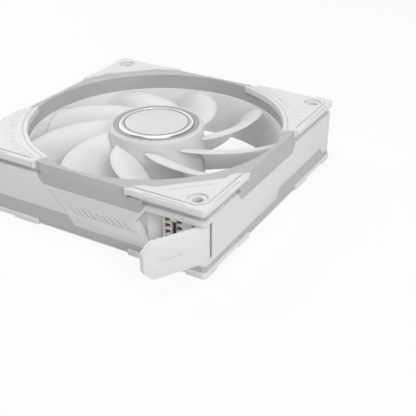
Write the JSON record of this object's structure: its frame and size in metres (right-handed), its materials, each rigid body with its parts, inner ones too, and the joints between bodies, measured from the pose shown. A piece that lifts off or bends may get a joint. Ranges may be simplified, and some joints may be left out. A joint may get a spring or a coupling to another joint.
{
  "type": "computer case fan",
  "caption": "Square case fan with a swept-blade impeller in a frame with two frosted light rings, corner screw pads and a hinged connector door.",
  "frame": {"origin": "centre of the case screw pattern, on the exhaust face that the fan lies on", "axes": "+Z along the spin axis towards the intake side with the hub cap; +X along the front wall towards the connector bay; +Y from the front wall to the back wall"},
  "size_m": [0.12, 0.1406, 0.03],
  "materials": {
    "white_plastic": "fine satin moulded",
    "pad_plastic": "fine satin moulded",
    "blade_plastic": "satin, slightly milky",
    "frosted_plastic": "frosted light guide",
    "cap_plastic": "smooth satin",
    "shade_plastic": "satin grey",
    "trim_chrome": "polished",
    "board": "solder mask",
    "led_board": "white solder mask",
    "chip": "matte",
    "steel": "turned",
    "lamination": "stamped sheet",
    "bronze": "sintered",
    "brass": "turned",
    "contact_metal": "plated leaf",
    "copper": "enamelled wire",
    "magnet": "bonded ferrite",
    "insulator": "moulded",
    "dark_plastic": "moulded",
    "lead_film": "polyimide film"
  },
  "bodies": {
    "frame": {"frame_body": "white_plastic", "motor_base": "white_plastic", "front_light_ring": "frosted_plastic", "rear_light_ring": "frosted_plastic", "front_led_boards": "led_board", "rear_led_boards": "led_board", "bearing_tube": "brass", "sleeve_bearing": "bronze", "bearing_end_cap": "dark_plastic", "thrust_pad": "dark_plastic", "stator_core": "lamination", "stator_insulators": "insulator", "windings": "copper", "motor_board": "board", "board_chips": "chip", "motor_lead": "lead_film", "contact_block": "white_plastic", "spring_contacts": "contact_metal", "connector_board": "board", "door_hinge_pin": "steel", "top_pad_front_left": "pad_plastic", "bottom_pad_front_left": "pad_plastic", "top_pad_front_right": "pad_plastic", "bottom_pad_front_right": "pad_plastic", "top_pad_back_right": "pad_plastic", "bottom_pad_back_right": "pad_plastic", "top_pad_back_left": "pad_plastic", "bottom_pad_back_left": "pad_plastic"},
    "impeller": {"impeller_hub": "blade_plastic", "blade_1": "blade_plastic", "blade_2": "blade_plastic", "blade_3": "blade_plastic", "blade_4": "blade_plastic", "blade_5": "blade_plastic", "blade_6": "blade_plastic", "blade_7": "blade_plastic", "blade_8": "blade_plastic", "blade_9": "blade_plastic", "rotor_yoke": "steel", "rotor_magnet": "magnet", "rotor_shaft": "steel", "shaft_clip": "steel", "hub_shade_ring": "shade_plastic", "hub_trim_ring": "trim_chrome", "hub_cap": "cap_plastic"},
    "door": {"connector_door": "pad_plastic"}
  },
  "joints": [
    {"name": "impeller_spin", "type": "hinge", "parent": "frame", "child": "impeller", "pos_m": [0, 0, 0.015], "axis": [0, 0, 1], "continuous": true},
    {"name": "door_hinge", "type": "hinge", "parent": "frame", "child": "door", "pos_m": [0.0575, -0.0565, 0.0144], "axis": [0, 0, 1], "range_deg": [-60, 35]}
  ]
}
